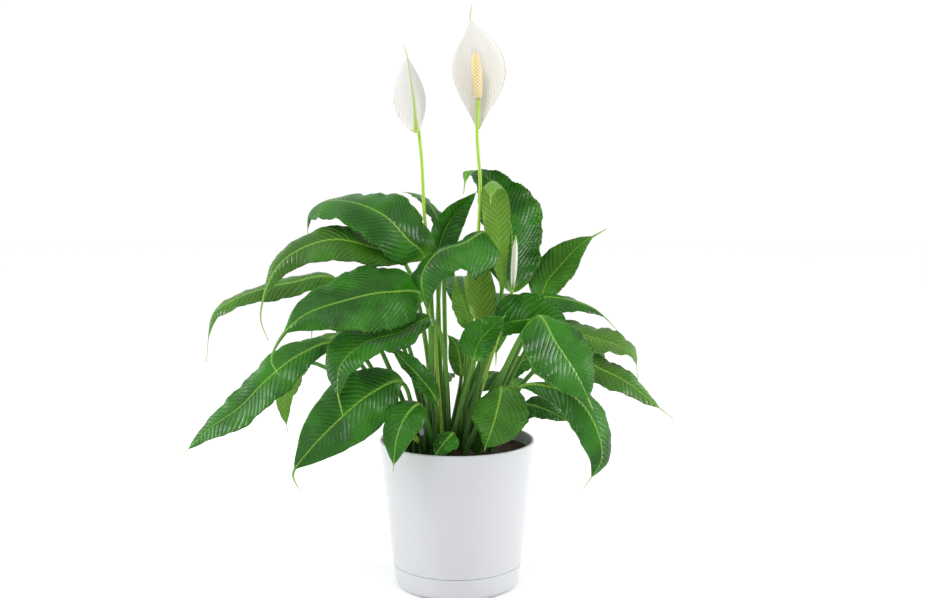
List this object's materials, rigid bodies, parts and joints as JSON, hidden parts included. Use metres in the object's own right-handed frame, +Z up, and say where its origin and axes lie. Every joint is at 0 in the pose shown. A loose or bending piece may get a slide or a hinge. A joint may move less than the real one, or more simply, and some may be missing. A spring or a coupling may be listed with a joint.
{
  "type": "potted peace lily",
  "caption": "Peace lily with arching pointed leaves, white hooded flowers on tall stems and a rolled bud, growing from soil in a plain round white pot with a flush drip tray.",
  "frame": {"origin": "centre of the pot's flat underside, on the drip tray's bottom face", "axes": "+Z up along the pot's axis, +X to the right and +Y away from someone who faces the front of the plant"},
  "size_m": [0.4468, 0.3002, 0.5552],
  "materials": {
    "pot_plastic": "smooth satin white",
    "soil": "dark crumbly potting mix",
    "leaf": "semi-gloss dark green leaf with pinnate veins",
    "flower_stem": "smooth bright yellow-green stem",
    "spathe": "matt white petal-like spathe",
    "spadix": "bumpy cream spadix",
    "bud": "rolled pale green bud"
  },
  "bodies": {
    "root": {"drip_tray": "pot_plastic", "pot": "pot_plastic", "soil": "soil", "leaf_01": "leaf", "leaf_02": "leaf", "leaf_03": "leaf", "leaf_04": "leaf", "leaf_05": "leaf", "leaf_06": "leaf", "leaf_07": "leaf", "leaf_08": "leaf", "leaf_09": "leaf", "leaf_10": "leaf", "leaf_11": "leaf", "leaf_12": "leaf", "leaf_13": "leaf", "leaf_14": "leaf", "leaf_15": "leaf", "leaf_16": "leaf", "leaf_17": "leaf", "leaf_18": "leaf", "leaf_19": "leaf", "leaf_20": "leaf", "leaf_21": "leaf", "leaf_22": "leaf", "leaf_23": "leaf", "leaf_24": "leaf", "leaf_25": "leaf", "leaf_26": "leaf", "leaf_27": "leaf", "leaf_28": "leaf", "leaf_29": "leaf", "leaf_30": "leaf", "leaf_31": "leaf", "leaf_32": "leaf", "leaf_33": "leaf", "leaf_34": "leaf", "leaf_35": "leaf", "leaf_36": "leaf", "leaf_37": "leaf", "leaf_38": "leaf", "leaf_39": "leaf", "leaf_40": "leaf", "leaf_41": "leaf", "leaf_42": "leaf", "leaf_43": "leaf", "flower_1_stem": "flower_stem", "flower_1_spathe": "spathe", "flower_1_spadix": "spadix", "flower_2_stem": "flower_stem", "flower_2_spathe": "spathe", "flower_2_spadix": "spadix", "bud_stem": "flower_stem", "bud_spathe": "bud"}
  },
  "joints": []
}
